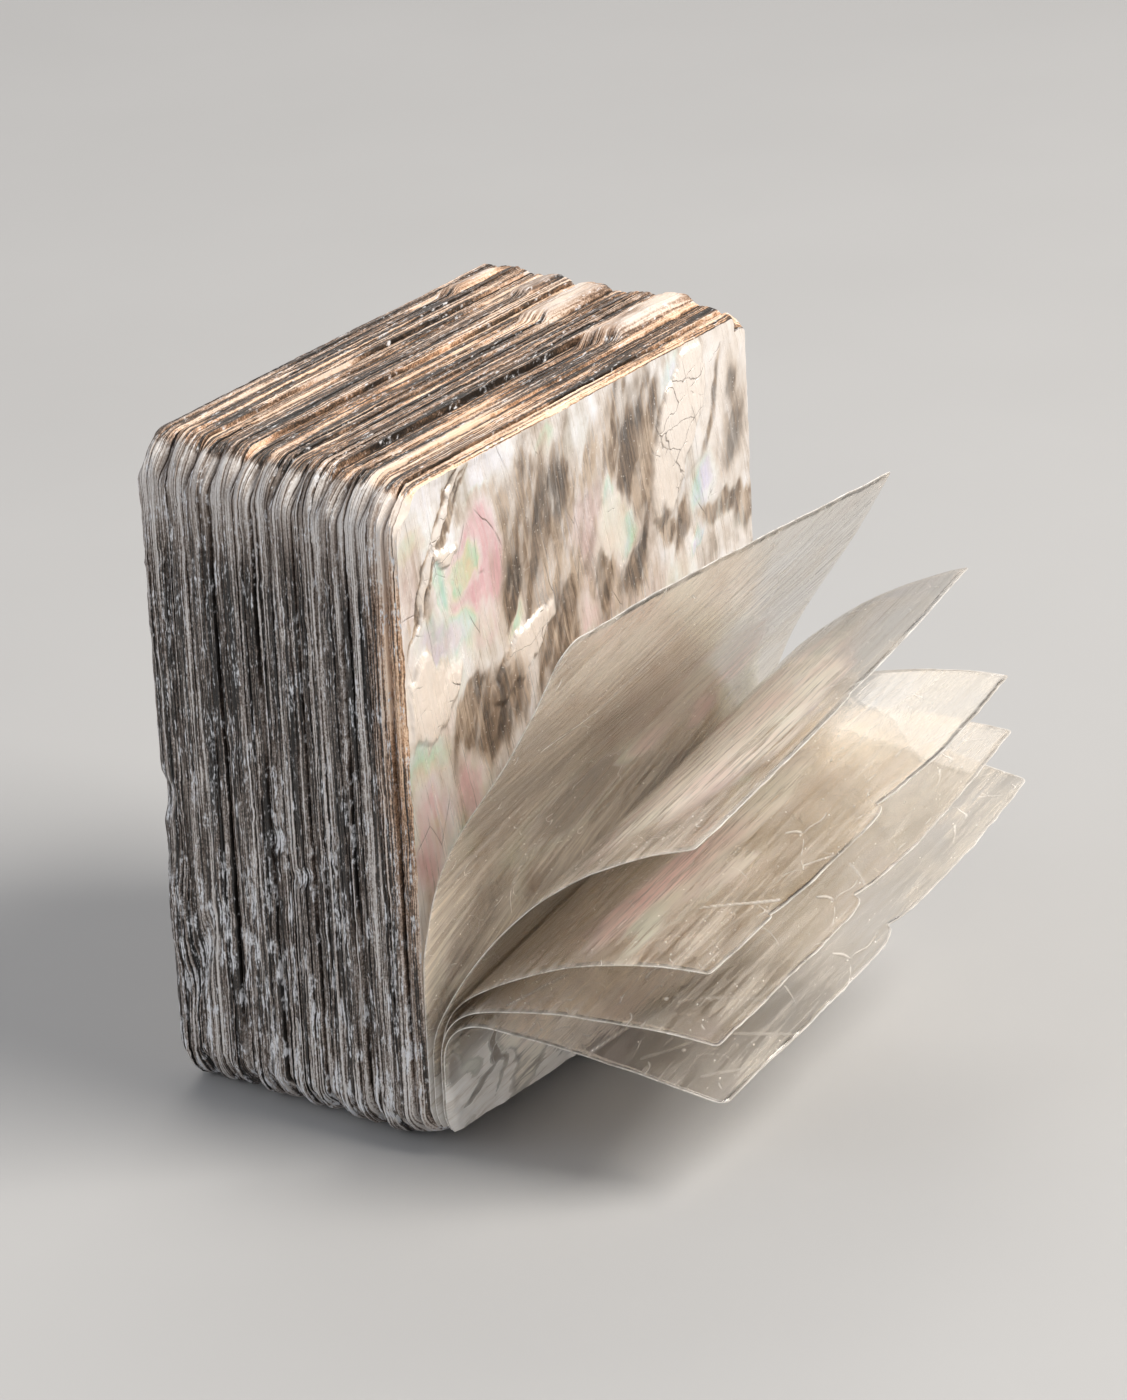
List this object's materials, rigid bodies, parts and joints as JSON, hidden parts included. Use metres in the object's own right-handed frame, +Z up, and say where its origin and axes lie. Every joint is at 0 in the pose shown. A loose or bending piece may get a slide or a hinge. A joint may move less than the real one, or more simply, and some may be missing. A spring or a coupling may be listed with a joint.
{
  "type": "mica crystal",
  "caption": "Book-shaped mica crystal: a stack of cleavage packets with rounded corners, and thin clear leaves peeling forward from its pearly front face.",
  "frame": {"origin": "middle of the bottom of the bounding box, on the surface that the crystal stands on", "axes": "+X to the right along the front face, +Y from the front face into the depth of the book, +Z up; the leaves fall towards -Y"},
  "size_m": [0.066, 0.0652, 0.0747],
  "materials": {
    "packed_mica": "pearly, layered, silver brown",
    "leaf_mica": "clear, smoky beige, glossy"
  },
  "bodies": {
    "root": {"book": "packed_mica", "leaf_1": "leaf_mica", "leaf_2": "leaf_mica", "leaf_3": "leaf_mica", "leaf_4": "leaf_mica", "leaf_5": "leaf_mica"}
  },
  "joints": []
}
